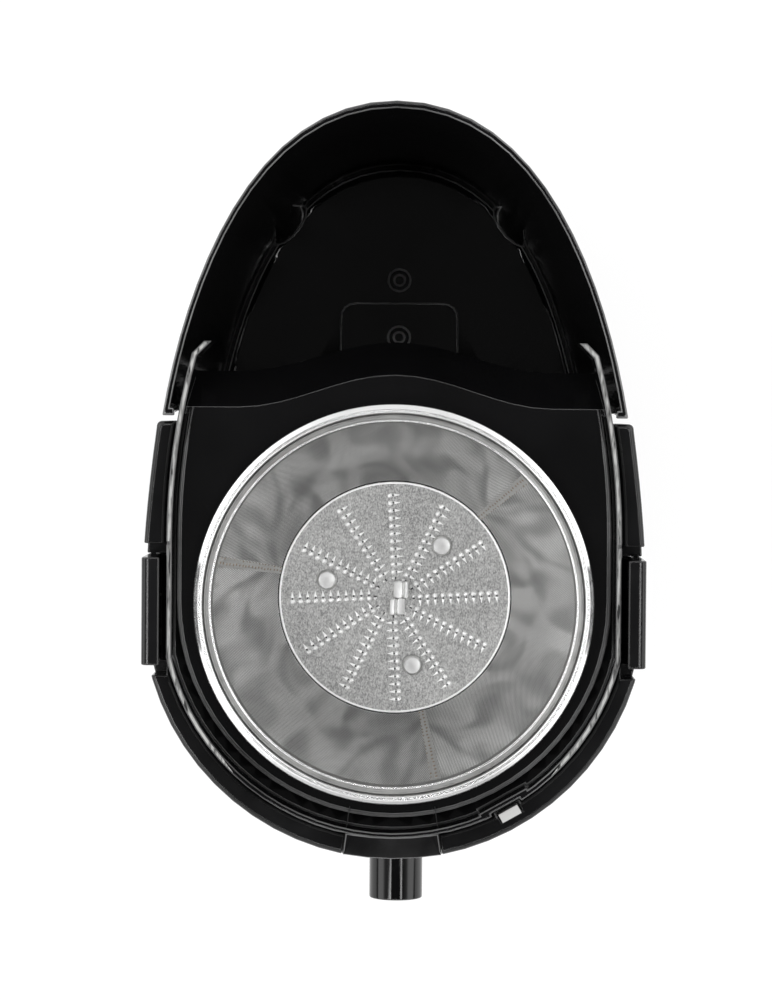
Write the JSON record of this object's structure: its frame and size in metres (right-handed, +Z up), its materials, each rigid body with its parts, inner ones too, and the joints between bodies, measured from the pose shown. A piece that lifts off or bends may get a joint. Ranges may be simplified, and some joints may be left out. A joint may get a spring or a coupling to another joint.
{
  "type": "centrifugal juicer",
  "caption": "Countertop centrifugal juicer with its lid off: motor base, bowl with spout and pulp ramp, spinning grater basket, rear pulp container, side latches.",
  "frame": {"origin": "centre of the footprint box, on the surface that the feet stand on", "axes": "+Z up, -Y to the front where the spout is, +X to the right"},
  "size_m": [0.1932, 0.313, 0.236],
  "materials": {
    "black_satin": "satin black moulding",
    "black_gloss": "glossy black moulding",
    "grey_plastic": "light grey moulding",
    "polished_steel": "polished stainless steel",
    "satin_steel": "bead-blasted stainless steel",
    "plain_steel": "plain steel",
    "laminated_steel": "laminated steel",
    "copper": "enamelled copper",
    "cast_alloy": "die-cast alloy",
    "rubber": "soft rubber",
    "carbon": "pressed carbon"
  },
  "bodies": {
    "base": {"base_housing": "black_satin", "base_plate": "black_satin", "front_foot_right": "rubber", "front_foot_left": "rubber", "rear_foot_right": "rubber", "rear_foot_left": "rubber", "front_plate_screw_right": "plain_steel", "front_plate_screw_left": "plain_steel", "rear_plate_screw_right": "plain_steel", "rear_plate_screw_left": "plain_steel", "latch_pin_right": "plain_steel", "latch_pin_left": "plain_steel", "brush_holder_right": "black_satin", "brush_holder_left": "black_satin", "brush_right": "carbon", "brush_left": "carbon", "interlock_switch": "black_satin", "rotary_switch": "black_satin", "cable_inlet": "rubber", "shaft_seal": "rubber", "stator": "laminated_steel", "field_coil_back": "copper", "field_coil_front": "copper", "upper_bracket": "cast_alloy", "lower_bracket": "cast_alloy", "upper_bearing": "plain_steel", "lower_bearing": "plain_steel", "rubber_mount_1": "rubber", "rubber_mount_2": "rubber", "rubber_mount_3": "rubber", "rubber_mount_4": "rubber", "motor_screw_1": "plain_steel", "motor_screw_2": "plain_steel", "motor_screw_3": "plain_steel", "motor_screw_4": "plain_steel"},
    "rotor": {"motor_shaft": "plain_steel", "armature": "laminated_steel", "commutator": "copper", "cooling_fan": "black_satin", "drive_coupling": "black_satin"},
    "basket": {"basket_rim": "polished_steel", "sieve_wall": "satin_steel", "lower_basket_ring": "polished_steel", "grater_disc": "satin_steel", "basket_hub": "black_satin", "rivet_1": "satin_steel", "rivet_2": "satin_steel", "rivet_3": "satin_steel"},
    "bowl": {"juice_bowl": "black_gloss"},
    "bin": {"pulp_container": "black_gloss"},
    "right_latch": {"latch_right": "black_satin"},
    "left_latch": {"latch_left": "black_satin"},
    "knob": {"speed_knob": "black_satin"},
    "interlock": {"interlock_plunger": "grey_plastic", "interlock_spring": "plain_steel"}
  },
  "joints": [
    {"name": "rotor_spin", "type": "hinge", "parent": "base", "child": "rotor", "pos_m": [0, -0.03545, 0.1], "axis": [0, 0, -1], "continuous": true},
    {"name": "basket_lift", "type": "slide", "parent": "rotor", "child": "basket", "axis": [0, 0, 1], "range_m": [0, 0.1]},
    {"name": "bowl_lift", "type": "slide", "parent": "base", "child": "bowl", "axis": [0, 0, 1], "range_m": [0, 0.1]},
    {"name": "container_slide", "type": "slide", "parent": "base", "child": "bin", "axis": [0, 1, 0], "range_m": [0, 0.12]},
    {"name": "right_latch_swing", "type": "hinge", "parent": "base", "child": "right_latch", "pos_m": [0.0914, -0.03815, 0.198], "axis": [0, 1, 0], "range_deg": [0, 60]},
    {"name": "left_latch_swing", "type": "hinge", "parent": "base", "child": "left_latch", "pos_m": [-0.0914, -0.03815, 0.198], "axis": [0, -1, 0], "range_deg": [0, 60]},
    {"name": "speed_knob_turn", "type": "hinge", "parent": "base", "child": "knob", "pos_m": [0, -0.13545, 0.062], "axis": [0, -1, 0], "range_deg": [0, 120]},
    {"name": "interlock_press", "type": "slide", "parent": "base", "child": "interlock", "axis": [0, 0, -1], "range_m": [0, 0.004], "stiffness_N_per_m": 300, "springref_m": -0.002, "deforming": ["interlock_spring"]}
  ],
  "couplings": [
    {"joint": "basket_lift", "follows": "bowl_lift", "ratio": 1}
  ]
}
